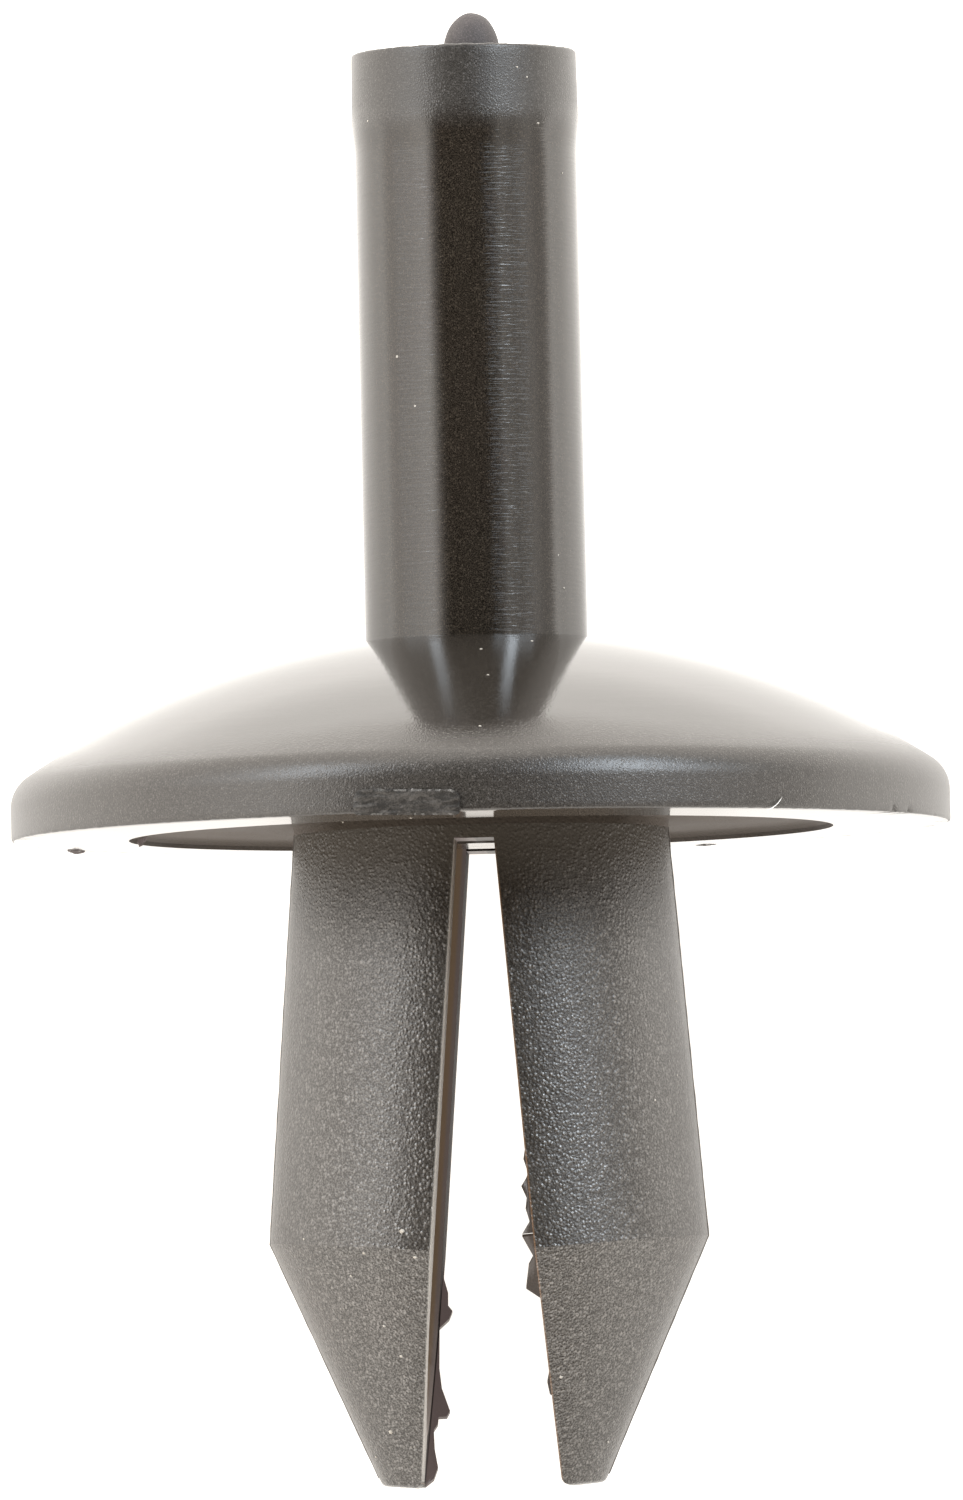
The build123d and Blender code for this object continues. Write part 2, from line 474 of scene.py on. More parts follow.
def nose_plastic():
    """Coarser, duller skin of the legs' cones."""
    return plastic(
        "nose_grain", (0.035, 0.027, 0.018), (0.046, 0.036, 0.026), 0.3, grain=12, scale=15000, coarse=0.5,
        glint=1.7, hollow_shade=0.6, edges=True, index=1.9,
    )


def scar_plastic():
    """Cut face of the gate scar, smeared along the rim in darker and lighter drags."""
    material, nodes, shader = new_material("scar_smeared")
    inputs = {0: nodes.place(), 1: (3500, 3500, 9000)}
    drawn = nodes.add("ShaderNodeVectorMath", inputs, operation="MULTIPLY").outputs["Vector"]
    inputs = {"Vector": drawn, "Scale": 1.0, "Detail": 3.0, "Roughness": 0.6}
    drag = nodes.add("ShaderNodeTexNoise", inputs).outputs["Fac"]
    spark = use(nodes, GRAIN, Scale=18000.0, Coarse=0.4)
    # The grain's glint share, mottle and painted glint, lightens the cut face in spots
    share = nodes.math("MULTIPLY_ADD", spark["Glint"], 1.3, nodes.remap(drag, 0.35, 0.7, -0.5, 0.6))
    colour = nodes.blend(share, tone((0.009, 0.007, 0.005)), tone((0.05, 0.044, 0.038)))
    nodes.fill(shader, {"Base Color": colour, "Normal": nodes.bump(drag, 14 * MICRON), "Roughness": 0.42})
    return material


def scar_lip_plastic():
    """Torn burr round the gate scar, paler by a painted highlight."""
    return plastic(
        "scar_lip_painted_highlight", (0.07, 0.065, 0.058), (0.16, 0.15, 0.138), 0.4, grain=3, scale=24000, glint=1.8
    )


def head_plastic():
    """The head's skin: polished dome with faint turning rings, going over to a satin shoulder and rim."""
    material, nodes, shader = new_material("head_skin")
    part = nodes.place_parts()
    flat = nodes.add("ShaderNodeCombineXYZ", {0: part[0], 1: part[1]}).outputs[0]
    radius = nodes.add("ShaderNodeVectorMath", {0: flat}, operation="LENGTH").outputs["Value"]
    cloud = use(nodes, CLOUD)["Tone"]
    spark = use(nodes, GRAIN, Scale=24000.0, Coarse=0.2)
    rings = use(nodes, TURNING, Scale=9000.0)
    satin = nodes.math("MULTIPLY_ADD", cloud, 0.3 * MM, radius)
    satin = nodes.remap(satin, 7.9 * MM, 8.85 * MM)
    # Light spots from the grain's mottle and painted glint
    polished = nodes.blend(spark["Glint"], tone((0.012, 0.01, 0.008)), tone((0.044, 0.039, 0.034)))
    moulded = nodes.blend(spark["Glint"], tone((0.01, 0.008, 0.006)), tone((0.08, 0.071, 0.062)))
    ring_height = nodes.math("MULTIPLY", rings["Height"], nodes.math("SUBTRACT", 1.0, satin))
    grain_height = nodes.math("MULTIPLY", spark["Height"], nodes.remap(satin, 0.0, 1.0, 0.14, 1.0))
    turned = nodes.bump(ring_height, 1.6 * MICRON)
    nodes.fill(shader, {
        "Base Color": nodes.blend(satin, polished, moulded),
        "Roughness": nodes.remap(satin, 0.0, 1.0, 0.06, 0.32),
        "Normal": nodes.bump(grain_height, 3 * MICRON, Normal=turned),
        "IOR": 1.5,
    })
    return material


def pin_plastic():
    """Glossy black pin with turning rings, under a band at its top that keeps the mould's spark grain."""
    material, nodes, shader = new_material("pin_gloss")
    cloud = use(nodes, CLOUD)["Tone"]
    spark = use(nodes, GRAIN, Scale=25000.0, Coarse=0.15)
    rings = use(nodes, TURNING, Scale=20000.0)
    uneven = nodes.math("MULTIPLY", nodes.math("SUBTRACT", cloud, 0.5), 0.5)
    window = height_window(nodes, BAND_FOOT - 0.35, BAND_FOOT + 0.1)
    patchy = nodes.math("ADD", window, nodes.math("MULTIPLY", uneven, window))
    band = nodes.add("ShaderNodeClamp", {0: patchy}).outputs[0]
    # Light spots from the grain's mottle and painted glint
    gloss = nodes.blend(spark["Glint"], tone((0.004, 0.003, 0.002)), tone((0.056, 0.045, 0.034)))
    matte = nodes.blend(spark["Glint"], tone((0.01, 0.008, 0.006)), tone((0.075, 0.068, 0.061)))
    colour = nodes.blend(band, gloss, matte)
    colour = nodes.blend(use(nodes, SPECKS, Share=0.012)["Mask"], colour, tone((0.3, 0.28, 0.25)))
    scuffed_end = height_window(nodes, -COLLAR_LEN + 0.12, -COLLAR_LEN + 0.04)
    colour = nodes.blend(scuffed_end, colour, tone((0.14, 0.13, 0.12)))
    ring_height = nodes.math("MULTIPLY", rings["Height"], nodes.math("SUBTRACT", 1.0, band))
    grain_height = nodes.math("MULTIPLY", spark["Height"], band)
    turned = nodes.bump(ring_height, 6.2 * MICRON)
    streaked = nodes.math("MULTIPLY_ADD", rings["Streak"], 0.08, 0.12)
    dulled = height_window(nodes, BAND_FOOT - 0.3, BAND_FOOT + 0.3)
    nodes.fill(shader, {
        "Base Color": colour,
        "Roughness": nodes.math("MULTIPLY_ADD", dulled, 0.24, streaked),
        "Normal": nodes.bump(grain_height, 3 * MICRON, Normal=turned),
    })
    return material


def stub_plastic():
    """Torn, lumpy skin of the broken gate stub."""
    return plastic(
        "stub_torn", (0.075, 0.062, 0.06), (0.09, 0.076, 0.074), 0.7, grain=2, scale=30000, glint=1.3
    )


# ---------------------------------------------------------------- mesh helpers


def add_piece(name, mesh, finishes, body, node):
    """A piece shaped upright, laid down with the rivet, riding on its body and standing for its node."""
    piece = bpy.data.objects.new(name, mesh)
    for material in finishes:
        mesh.materials.append(material)
    bpy.context.scene.collection.objects.link(piece)
    piece.matrix_world = LAID
    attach(piece, body)
    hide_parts(node)


def add_body_piece(name, mesh, finishes):
    """A piece of the rivet's body."""
    add_piece(name, mesh, finishes, "rivet", "rivet_body")


def add_pin_piece(name, mesh, finishes):
    """A piece of the drive pin."""
    add_piece(name, mesh, finishes, "pin", "drive_pin")


def finished(build, name, smooth=True, crease=None):
    """The mesh of a build, sharp where its faces turn by more than the crease angle."""
    mesh = bpy.data.meshes.new(name)
    build.to_mesh(mesh)
    build.free()
    if smooth:
        mesh.shade_smooth()
    if crease is not None:
        mesh.set_sharp_from_angle(angle=crease)
    return mesh


def bridge(build, rings, closed=True):
    """Rows of faces that join each ring of points to the next."""
    rows = []
    for ring, following in zip(rings, rings[1:]):
        count = len(ring)
        row = []
        for i in range(count if closed else count - 1):
            j = (i + 1) % count
            row.append(build.faces.new((ring[i], ring[j], following[j], following[i])))
        rows.append(row)
    return rows


def line(start, end, count):
    """Evenly spaced points of a straight stretch, with both its ends."""
    return [tuple(a + (b - a) * i / count for a, b in zip(start, end)) for i in range(count + 1)]


def arc(centre, radius, start, end, count):
    """Evenly spaced points of an arc, from one angle to the other."""
    turns = [start + (end - start) * i / count for i in range(count + 1)]
    return [(centre[0] + radius * cos(a), centre[1] + radius * sin(a)) for a in turns]


def lathe(name, stretches, steps, ragged=None):
    """A turned surface. Each stretch is (finish number, profile points), and ragged shifts single points."""
    build = bmesh.new()
    for finish, points in stretches:
        rings = []
        for radius, height in points:
            ring = []
            for i in range(steps):
                a = 2 * pi * i / steps
                r, z = (radius, height) if ragged is None else ragged(radius, height, a)
                ring.append(build.verts.new((r * sin(a) * MM, -r * cos(a) * MM, z * MM)))
            rings.append(ring)
        for row in bridge(build, rings):
            for face in row:
                face.material_index = finish
    bmesh.ops.remove_doubles(build, verts=build.verts, dist=0.2 * MICRON)
    bmesh.ops.recalc_face_normals(build, faces=build.faces)
    return finished(build, name, crease=CREASE)


# ---------------------------------------------------------------- head


def head_profile():
    """Stretches of the head's section, from the bore's mouth over the dome and rim to the collar."""
    dome_centre = (0, DOME_H - DOME_R)
    shoulder_at = HEAD_R - SHOULDER_R
    shoulder_top = dome_centre[1] + sqrt((DOME_R - SHOULDER_R) ** 2 - shoulder_at**2)
    dome_end = atan2(shoulder_top - dome_centre[1], shoulder_at)
    break_at = HEAD_R - RIM_BREAK
    step = [(RECESS_R, -UNDERSIDE_DISH), (RECESS_R - 0.03, 0.05), (RECESS_R - 0.12, 0.11)]
    floor = [(RECESS_R - 0.3, RECESS_DEPTH), (SHANK_R, RECESS_DEPTH)]
    return [
        (BORE, [(BORE_R, dome_height(BORE_R)), (BORE_R, 0)]),
        (SKIN, arc(dome_centre, DOME_R, pi / 2 - asin(BORE_R / DOME_R), dome_end, 60)),
        (SKIN, arc((shoulder_at, shoulder_top), SHOULDER_R, dome_end, 0, 14)),
        (SKIN, line((HEAD_R, shoulder_top), (HEAD_R, RIM_BREAK), 6)),
        (SKIN, arc((break_at, RIM_BREAK), RIM_BREAK, 0, -pi / 2, 4)),
        (POLISH, line((break_at, 0), (RECESS_R, -UNDERSIDE_DISH), 6)),
        (RECESS, step + floor + [(SHANK_R, -0.01)]),
    ]


def ragged_rim(radius, height, turn):
    """The rim's lower edge as torn off the mould: a little uneven, with two small nicks on the right."""
    reach, nick_depth, nick_half = 0.06, 0.06, 0.1
    if height > reach or radius < HEAD_R - reach:
        return radius, height
    wobble = noise.noise(Vector((turn * 60, 3, 0))) * 0.012
    for nick in RIM_NICKS:
        wobble += nick_depth * max(0.0, 1 - abs(turn - nick) * HEAD_R / nick_half)
    return radius - max(0.0, wobble) * 0.5, height + wobble


def make_head(finishes):
    """Dome, rim and underside, turned in one."""
    add_body_piece("head", lathe("head", head_profile(), 540, ragged_rim), finishes)


def scar_outline():
    """Points round the gate scar, closely spaced, with larger corners above than below."""
    half_w, half_h = SCAR_W / 2, SCAR_H / 2
    corners = ((1, 1, SCAR_CORNER_R), (-1, 1, SCAR_CORNER_R), (-1, -1, SCAR_FOOT_R), (1, -1, SCAR_FOOT_R))
    outline = []
    for quarter, (side, level, radius) in enumerate(corners):
        centre = (side * (half_w - radius), level * (half_h - radius))
        outline += arc(centre, radius, quarter * pi / 2, (quarter + 1) * pi / 2, 8)
    dense = []
    for start, end in zip(outline, outline[1:] + outline[:1]):
        dense += line(start, end, max(1, int(dist(start, end) / SCAR_SPACING)))[:-1]
    return dense


def scar_face(u, v):
    """Distance of the scar's smeared face from the rivet's axis, at a spot across and up."""
    smear = noise.noise(Vector((u * 2.2, v * 16, 5))) + 0.5 * noise.noise(Vector((u * 9, v * 30, 8)))
    return HEAD_R + SCAR_PROUD + 0.012 * smear


def make_scar(finishes):
    """Trimmed gate scar: a low flat on the rim with rounded corners, its face smeared along the cut."""
    build = bmesh.new()
    half_w, half_h = SCAR_W / 2, SCAR_H / 2
    middle = SCAR_LIFT + half_h
    turn = Matrix.Rotation(SCAR_AZIMUTH, 4, "Z")

    def spot(u, v, out):
        return build.verts.new((turn @ Vector((u, -out, middle + v - SCAR_LEAN * u))) * MM)

    outline = scar_outline()
    shares = [(share, share) for share in (0.06, 0.2, 0.34, 0.48, 0.6, 0.72, 0.8)]
    shares.append((1 - SCAR_LIP / half_w, 1 - SCAR_LIP / half_h))
    rings = []
    for across, up in shares:
        inner = [(u * across, v * up) for u, v in outline]
        rings.append([spot(u, v, scar_face(u, v)) for u, v in inner])
    lip, foot = [], []
    for u, v in outline:
        ragged = 1 + 0.02 * noise.noise(Vector((u * 8, v * 8, 2)))
        torn = 0.03 * max(0.0, noise.noise(Vector((u * 12, 4, 1)))) if v > half_h - 0.01 else 0.0
        lip.append(spot(u * ragged, v * ragged + torn, scar_face(u, v) - 0.008))
        root_u, root_v = u * 1.008, max(v * 1.03, 0.03 - middle)
        foot.append(spot(root_u, root_v, sqrt(HEAD_R**2 - root_u**2) - 0.012))
    build.faces.new(rings[0])
    rows = bridge(build, rings + [lip, foot])
    for (u, v), face in zip(outline, rows[len(rings) - 1]):
        # Pale burr faces carry a painted highlight, mostly along the upper edge
        burr = noise.noise(Vector((u * 9, v * 3, 7))) > (-0.05 if v > 0 and u > -0.7 else 0.2)
        face.material_index = SCAR_LIT_BURR if burr else SCAR_CUT
    bmesh.ops.recalc_face_normals(build, faces=build.faces)
    add_body_piece("gate_scar", finished(build, "gate_scar", crease=radians(40)), finishes)


def hanging_flake(build, foot, along, width, drop, seed):
    """A thin torn flake that hangs from a place on the underside, in millimetres."""
    rows = []
    for i in range(13):
        share = i / 12
        ragged = 1 + 0.5 * noise.noise(Vector((seed, share * 6, 0)))
        low = Vector((0, 0, drop * (0.35 + 0.65 * sin(pi * share)) * ragged))
        place = Vector(foot) + Vector(along) * (share - 0.5) * width
        thick = Vector((along[1], -along[0], 0)) * 0.03
        corners = (place + thick, place - thick, place - thick * 0.4 - low, place + thick * 0.4 - low)
        rows.append([build.verts.new(corner * MM) for corner in corners])
    bridge(build, rows)
    build.faces.new(rows[0])
    build.faces.new(rows[-1][::-1])


def make_flakes(finish):
    """Torn flakes of flash under the far edge of the rim and at the left end of the recess."""
    build = bmesh.new()
    hanging_flake(build, (-8.02, 4.0, 0), (0.45, 0.893, 0), width=0.6, drop=0.055, seed=1)
    hanging_flake(build, (4.1, 7.95, 0), (0.888, -0.46, 0), width=0.45, drop=0.02, seed=2)
    hanging_flake(build, (-6.6, 1.1, RECESS_DEPTH), (0.5, 0.866, 0), width=0.4, drop=0.2, seed=3)
    hanging_flake(build, (-6.45, -1.7, RECESS_DEPTH), (-0.3, 0.95, 0), width=0.6, drop=0.17, seed=4)
    bmesh.ops.recalc_face_normals(build, faces=build.faces)
    add_body_piece("rim_flakes", finished(build, "rim_flakes", smooth=False), [finish])


# ---------------------------------------------------------------- legs


def leg_point(point):
    """Reach and height of a point in the frame of the leg that it belongs to, in millimetres."""
    out = abs(point.x) / MM
    down = point.z / MM + COLLAR_LEN
    splay = RIGHT_SPLAY if point.x > 0 else LEFT_SPLAY
    return out * cos(splay) + down * sin(splay), -out * sin(splay) + down * cos(splay)


def leg_finish(face):
    """Number of the finish of a face of the legs, by its place and the way it faces."""
    centre = face.calc_center_median()
    reach, height = leg_point(centre)
    inwards = face.normal.x * centre.x + face.normal.y * centre.y < 0
    if inwards and reach > HALF_SLOT + 0.01 and abs(face.normal.z) < 0.5:
        return LEG_BORE
    if height > 0:
        return SHANK
    if reach < HALF_SLOT - 0.012:
        return FLASH
    if reach < HALF_SLOT + 0.004:
        return SLOT
    return NOSE if height < -LEG_LEN - 0.001 else SHANK


def round_off_legs(mesh):
    """True round normals on the legs' outsides: the shank's cylinder above, the nose's cone below."""
    outer_skin = 0.93  # least cosine between a face of the outside and the round form's normal
    normals = [corner.vector.copy() for corner in mesh.corner_normals]
    for face in mesh.polygons:
        if face.material_index not in (SHANK, NOSE):
            continue
        slope = NOSE_ANGLE if face.material_index == NOSE else 0.0
        side, splay = (1, RIGHT_SPLAY) if face.center.x > 0 else (-1, LEFT_SPLAY)
        for loop in face.loop_indices:
            point = mesh.vertices[mesh.loops[loop].vertex_index].co
            out, back = leg_point(point)[0], point.y / MM
            reach = sqrt(out**2 + back**2)
            away, up = out / reach * cos(slope), -sin(slope)
            sideways = side * (away * cos(splay) - up * sin(splay))
            normal = Vector((sideways, back / reach * cos(slope), away * sin(splay) + up * cos(splay)))
            if face.normal.dot(normal) > outer_skin:
                normals[loop] = normal
    mesh.normals_split_custom_set(normals)


def make_legs(finishes):
    """Both legs and the collar, from the frame's own solid below the head."""
    mesh = frame["nodes"]["rivet_body"].data.copy()
    mesh.transform(LAID.inverted())
    mesh.materials.clear()
    build = bmesh.new()
    build.from_mesh(mesh)
    bmesh.ops.remove_doubles(build, verts=build.verts, dist=0.5 * MICRON)
    everything = build.verts[:] + build.edges[:] + build.faces[:]
    below_head = (0, 0, -MICRON)
    bmesh.ops.bisect_plane(build, geom=everything, plane_co=below_head, plane_no=(0, 0, 1), clear_outer=True)
    for face in build.faces:
        face.material_index = leg_finish(face)
        face.smooth = True
    for edge in build.edges:
        edge.smooth = True
    build.to_mesh(mesh)
    build.free()
    mesh.set_sharp_from_angle(angle=CREASE)
    round_off_legs(mesh)
    add_body_piece("legs", mesh, finishes)


def make_seams(finish):
    """Fine parting ridge down the outer side of each leg, from the collar to the tip of its nose."""
    build = bmesh.new()
    kink, tip = (SHANK_R, -LEG_LEN), (SHANK_R - NOSE_LEN * tan(NOSE_ANGLE), -LEG_LEN - NOSE_LEN)
    path = line((SHANK_R, 0), kink, 120) + line(kink, tip, 60)[1:59]
    for side, splay in ((0, RIGHT_SPLAY), (pi, LEFT_SPLAY)):
        leg = Matrix.Rotation(side, 4, "Z") @ Matrix.Rotation(-splay, 4, "Y")
        leg = Matrix.Translation((0, 0, -COLLAR_LEN)) @ leg
        rings = []
        for out, down in path:
            proud = 0.018 + 0.008 * noise.noise(Vector((side, out, down * 4)))
            ridge = [(-0.04, -0.01), (-0.022, 0.7 * proud), (0, proud), (0.022, 0.7 * proud), (0.04, -0.01)]
            places = [Vector((out + lift, across, down)) for across, lift in ridge]
            rings.append([build.verts.new((leg @ place) * MM) for place in places])
        bridge(build, rings, closed=False)
    bmesh.ops.recalc_face_normals(build, faces=build.faces)
    add_body_piece("leg_seams", finished(build, "leg_seams"), [finish])


# ---------------------------------------------------------------- drive pin


def pin_profile():
    """Stretches of the pin's section, from its broken top to its tapered end."""
    shaft_top = BAND_FOOT - BAND_RUN_OUT
    lead_top = -COLLAR_LEN + (PIN_R - LEAD_R) / tan(LEAD_ANGLE)
    run_out = []
    for i in range(9):
        swell = (BAND_R - PIN_R) * (0.5 + 0.5 * cos(pi * i / 8))
        run_out.append((PIN_R + swell, BAND_FOOT - BAND_RUN_OUT * i / 8))
    stretches = [
        [(0, PIN_TOP), (0.6, PIN_TOP), (1.6, PIN_TOP), (BAND_TOP_R - PIN_EDGE, PIN_TOP)],
        arc((BAND_TOP_R - PIN_EDGE, PIN_TOP - PIN_EDGE), PIN_EDGE, pi / 2, 0, 5),
        line((BAND_TOP_R, PIN_TOP - PIN_EDGE), (BAND_R, BAND_FOOT), 8),
        run_out,
        [(PIN_R, shaft_top), (PIN_R, lead_top)],
        [(PIN_R, lead_top), (LEAD_R, -COLLAR_LEN), (0, -COLLAR_LEN)],
    ]
    return [(0, stretch) for stretch in stretches]


def ragged_top(radius, height, turn):
    """The pin's top edge, a little uneven where its sprue was broken off."""
    if height < PIN_TOP - 0.02 or radius < 1.7:
        return radius, height
    coarse = 0.014 * noise.noise(Vector((turn * 9, 1, 0)))
    fine = 0.008 * noise.noise(Vector((turn * 40, 2, 0)))
    return radius, height + coarse + fine


def make_pin(finish):
    """Band, shaft and tapered end of the drive pin, turned in one."""
    add_pin_piece("pin_shaft", lathe("pin_shaft", pin_profile(), 360, ragged_top), [finish])


def make_stub(finish):
    """Broken gate stub: a short blunt nub on the pin's top, with a torn, lumpy skin."""
    build = bmesh.new()
    bmesh.ops.create_uvsphere(build, u_segments=96, v_segments=60, radius=1)
    for vert in build.verts:
        place = vert.co.copy()
        level = max(0.0, place.z)
        sunk = 0.05 if place.z < 0 else 0
        lumps = 1 + 0.02 * noise.noise(place * 1.7)
        swell = (1 - level**2.4) ** 0.5 if level > 0 else 1.0
        around = Vector((place.x, place.y))
        if around.length > 1e-6:
            around *= swell / around.length
        x = around.x * STUB_R * (1 - 0.1 * level) * lumps + STUB_SHIFT
        y = around.y * STUB_R * lumps
        vert.co = Vector((x, y, PIN_TOP + level * STUB_H * lumps - sunk)) * MM
    add_pin_piece("gate_stub", finished(build, "gate_stub"), [finish])


# ---------------------------------------------------------------- lint and dust


def make_fibre(finish):
    """A short white lint fibre clinging to the rim's lower edge."""
    build = bmesh.new()
    rings = []
    for i in range(17):
        share = i / 16
        turn = radians(38.8 + 2.3 * share)
        reach = HEAD_R + 0.02 + 0.03 * sin(pi * share)
        place = Vector((reach * sin(turn), -reach * cos(turn), -0.03 + 0.24 * share**1.6))
        thin = 0.011 * (1 - 0.6 * abs(2 * share - 1) ** 4)
        ring = [place + Vector((0, cos(a), sin(a))) * thin for a in (2 * pi * k / 6 for k in range(6))]
        rings.append([build.verts.new(p * MM) for p in ring])
    bridge(build, rings)
    bmesh.ops.recalc_face_normals(build, faces=build.faces)
    add_body_piece("lint_fibre", finished(build, "lint_fibre"), [finish])


# The camera's frame in pixels, and the specks of dust: column and row in that frame, radius in millimetres
FRAME_PIXELS = (963, 1500)
LEG_SPECKS = (
    (402, 1231, 0.05), (415, 1257, 0.042), (364, 1253, 0.035), (304, 1239, 0.03), (351, 1276, 0.028),
    (384, 1326, 0.032), (401, 1356, 0.032), (391, 1432, 0.055), (376, 1457, 0.028), (561, 1377, 0.04),
    (608, 1442, 0.036), (676, 1001, 0.03), (655, 1100, 0.03), (677, 1075, 0.024),
)
HEAD_SPECKS = (
    (343, 822, 0.03), (411, 818, 0.03), (481, 649, 0.03), (532, 641, 0.028), (488, 675, 0.03),
    (480, 726, 0.028),
)
PIN_SPECKS = (
    (368, 121, 0.026), (538, 123, 0.028), (527, 77, 0.022), (517, 67, 0.022), (562, 173, 0.026),
    (564, 588, 0.03),
)


def under_pixel(column, row):
    """The place on the rivet behind a pixel of the camera's frame, and the way the surface faces there."""
    camera = bpy.context.scene.camera
    wide, high = FRAME_PIXELS
    step = camera.data.sensor_width / high
    ray = Vector(((column - wide / 2) * step, (high / 2 - row) * step, -camera.data.lens))
    ray = (camera.matrix_world.to_3x3() @ ray).normalized()
    eye = camera.matrix_world.translation
    graph = bpy.context.evaluated_depsgraph_get()
    hit, place, normal, *_ = bpy.context.scene.ray_cast(graph, eye, ray)
    back = LAID.inverted()
    return (back @ place, (back.to_3x3() @ normal).normalized()) if hit else None


def dust_heap(name, spots):
    """Mesh of flat lumps of dust, each on its place and lying on the surface there."""
    build = bmesh.new()
    for place, normal, size, seed in spots:
        turn = normal.to_track_quat("Z", "Y").to_matrix()
        for vert in bmesh.ops.create_icosphere(build, subdivisions=2, radius=1)["verts"]:
            wide = 0.9 + 0.7 * noise.noise(vert.co * 1.6 + Vector((seed * 0.37, 0, 0)))
            lump = Vector((vert.co.x * wide, vert.co.y * wide * 0.8, vert.co.z * 0.5))
            vert.co = place + turn @ lump * size * MM
    return finished(build, name)


def make_dust(finish):
    """Pale specks of dust and chips on the legs, the head and the pin."""
    bpy.context.view_layer.update()

    def spots(specks):
        found = [(under_pixel(column, row), size, column) for column, row, size in specks]
        return [(*seen, size, seed) for seen, size, seed in found if seen]

    on_body, on_pin = spots(LEG_SPECKS + HEAD_SPECKS), spots(PIN_SPECKS)
    add_body_piece("dust_rivet", dust_heap("dust_rivet", on_body), [finish])
    add_pin_piece("dust_pin", dust_heap("dust_pin", on_pin), [finish])


# ---------------------------------------------------------------- studio


def lay_floor():
    """Plain white light table, far wider than the rivet."""
    mesh = bpy.data.meshes.new("floor")
    half = 3.0
    corners = [(-half, -half, 0), (half, -half, 0), (half, half, 0), (-half, half, 0)]
    mesh.from_pydata(corners, [], [(0, 1, 2, 3)])
    material, nodes, shader = new_material("floor_white")
    away = nodes.add("ShaderNodeVectorMath", {0: nodes.place()}, operation="LENGTH").outputs["Value"]
    near = nodes.remap(away, 0.008, 0.03, 1.15, 2.35)
    glow = nodes.math("ADD", near, nodes.remap(away, 0.03, 0.12, 0.0, 0.8))
    nodes.fill(shader, {
        "Base Color": tone((0.2, 0.2, 0.2)),
        "Roughness": 0.9,
        "Specular IOR Level": 0.1,
        "Emission Color": tone((1, 0.95, 0.885)),
        "Emission Strength": glow,
    })
    mesh.materials.append(material)
    floor = bpy.data.objects.new("floor", mesh)
    bpy.context.scene.collection.objects.link(floor)


# Brightness of the white surround: degrees round the rivet from the front towards +X, and the level there
SURROUND = (
    (-180, 1.2), (-150, 2.0), (-130, 2.8), (-110, 3.5), (-99, 3.4), (-90, 2.95), (-78, 3.0), (-60, 3.7),
    (-49, 4.3), (-39, 4.4), (-33, 1.2), (-28, 0.2), (-24, 0.02), (22, 0.04), (29, 0.3), (37, 1.6), (50, 1.25),
    (62, 1.7), (70, 2.0), (79, 1.4), (88, 1.5), (97, 2.7), (108, 3.45), (130, 2.8), (150, 2.0), (180, 1.2),
)
BRIGHTEST = 5.0  # the level that stands as white in the ramp
ZENITH = 3.1
NADIR = 1.7


def surround_ramp(nodes, turn):
    """Level of the surround at a turn round the rivet, from the front towards +X."""
    ramp = nodes.add("ShaderNodeValToRGB", {0: nodes.remap(turn, -pi, pi)})
    stops = ramp.color_ramp.elements
    stops.remove(stops[0])
    for i, (degrees_round, level) in enumerate(SURROUND):
        stop = stops[0] if i == 0 else stops.new(i / len(SURROUND))
        stop.position = degrees_round / 360 + 0.5
        stop.color = tone((1, 1, 1), level / BRIGHTEST)
    share = nodes.add("ShaderNodeSeparateColor", {0: ramp.outputs[0]}).outputs[0]
    return nodes.math("MULTIPLY", share, BRIGHTEST)


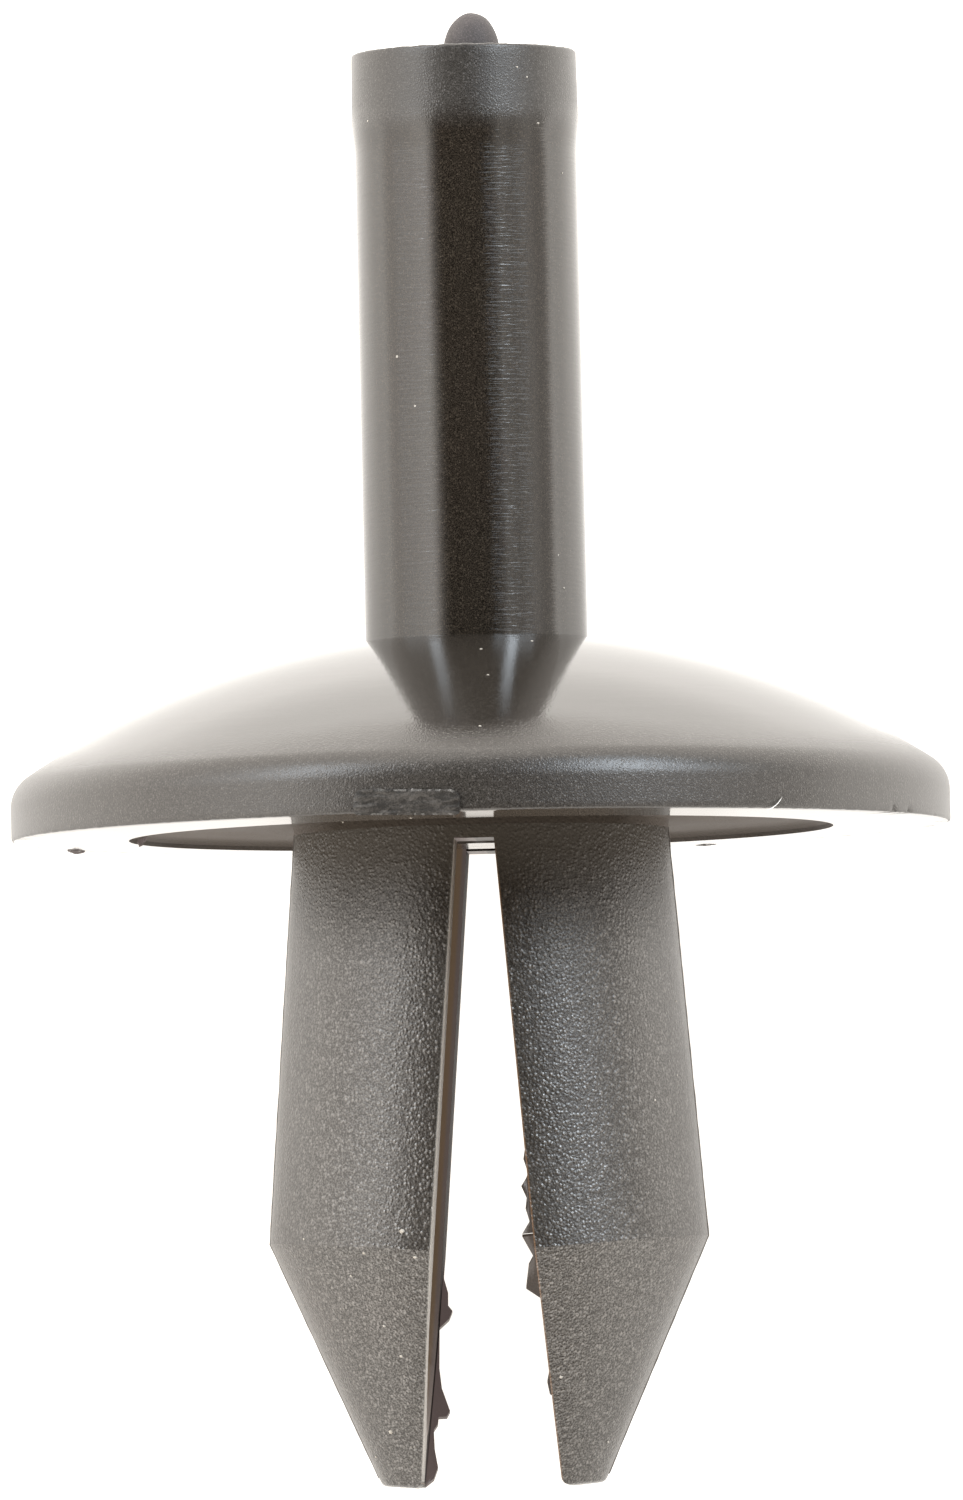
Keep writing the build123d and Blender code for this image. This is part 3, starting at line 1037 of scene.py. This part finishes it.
def light_studio():
    """Bright white surround with a dark gap before the rivet's front, a little to the right."""
    world = bpy.data.worlds.new("studio")
    bpy.context.scene.world = world
    world.use_nodes = True
    nodes = Nodes(world.node_tree)
    lie = LAID.to_3x3()
    right, front, pin_end = lie @ Vector((1, 0, 0)), lie @ Vector((0, -1, 0)), lie @ Vector((0, 0, 1))
    direction = nodes.add("ShaderNodeTexCoord").outputs["Generated"]

    def along(axis):
        inputs = {0: direction, 1: axis}
        return nodes.add("ShaderNodeVectorMath", inputs, operation="DOT_PRODUCT").outputs["Value"]

    ring = surround_ramp(nodes, nodes.math("ARCTAN2", along(right), along(front)))
    aside = radians(25)
    facing = nodes.math("MULTIPLY", along(front), cos(aside))
    facing = nodes.math("MULTIPLY_ADD", along(right), sin(aside), facing)
    rise = nodes.math("ARCSINE", along(pin_end))
    high = nodes.remap(rise, radians(12), radians(48))
    low = nodes.remap(rise, radians(-14), radians(-45))
    sky = nodes.math("MULTIPLY", nodes.remap(facing, 0.42, 0.52, 1.0, 0.03), ZENITH)
    level = nodes.math("MULTIPLY_ADD", nodes.math("SUBTRACT", sky, ring), high, ring)
    floor_side = nodes.math("SUBTRACT", nodes.remap(facing, 0.4, 0.9, NADIR, 0.5), level)
    level = nodes.math("MULTIPLY_ADD", floor_side, low, level)
    nodes.fill(nodes.tree.nodes["Background"], {"Color": tone((1, 0.945, 0.885)), "Strength": level})
    bpy.context.scene.view_settings.view_transform = "Standard"


BOX_DISTANCE = 0.5
BOX_COLOUR = (0.82, 0.91, 1)
PANEL_COLOUR = (0.8, 0.9, 1)
# Soft boxes: degrees from the front towards +X, degrees up towards the pin, size in metres, strength, colour
SOFT_BOXES = {
    "upper_left_box": (-44, 34, (0.1, 0.28), 12, BOX_COLOUR),
    "upper_right_box": (42, 34, (0.09, 0.28), 24, BOX_COLOUR),
    "left_panel": (-60, 17, (0.34, 0.17), 1.1, PANEL_COLOUR),
    "right_panel": (44, 21, (0.4, 0.15), 4.6, PANEL_COLOUR),
}


def soft_box(name, azimuth, rise, size, strength, colour):
    """A soft box facing the rivet, turned round its axis from the front and raised towards the pin."""
    light = bpy.data.lights.new(name, "AREA")
    light.shape = "RECTANGLE"
    light.size, light.size_y = size
    light.color = colour
    light.energy = strength * pi * size[0] * size[1]
    box = bpy.data.objects.new(name, light)
    azimuth, rise = radians(azimuth), radians(rise)
    out = Vector((sin(azimuth) * cos(rise), -cos(azimuth) * cos(rise), sin(rise)))
    turn = out.to_track_quat("Z", "Y").to_matrix().to_4x4()
    box.matrix_world = LAID @ (Matrix.Translation(out * BOX_DISTANCE) @ turn)
    bpy.context.scene.collection.objects.link(box)


def main():
    aim_camera()
    light_studio()
    for name, setting in SOFT_BOXES.items():
        soft_box(name, *setting)
    lay_floor()
    bore, flash = bore_plastic(), flash_plastic()
    make_head([head_plastic(), underside_plastic(), recess_plastic(), bore])
    make_scar([scar_plastic(), scar_lip_plastic()])
    make_legs([shank_plastic(), nose_plastic(), slot_plastic(), bore, flash])
    make_seams(plastic("seam_ridge", (0.03, 0.023, 0.018), (0.04, 0.031, 0.025), 0.35))
    make_pin(pin_plastic())
    make_stub(stub_plastic())
    make_flakes(flash)
    make_fibre(plastic("lint_white", (0.6, 0.58, 0.55), (0.7, 0.68, 0.66), 0.8))
    make_dust(plastic("dust_pale", (0.3, 0.27, 0.23), (0.42, 0.39, 0.35), 0.8))


main()
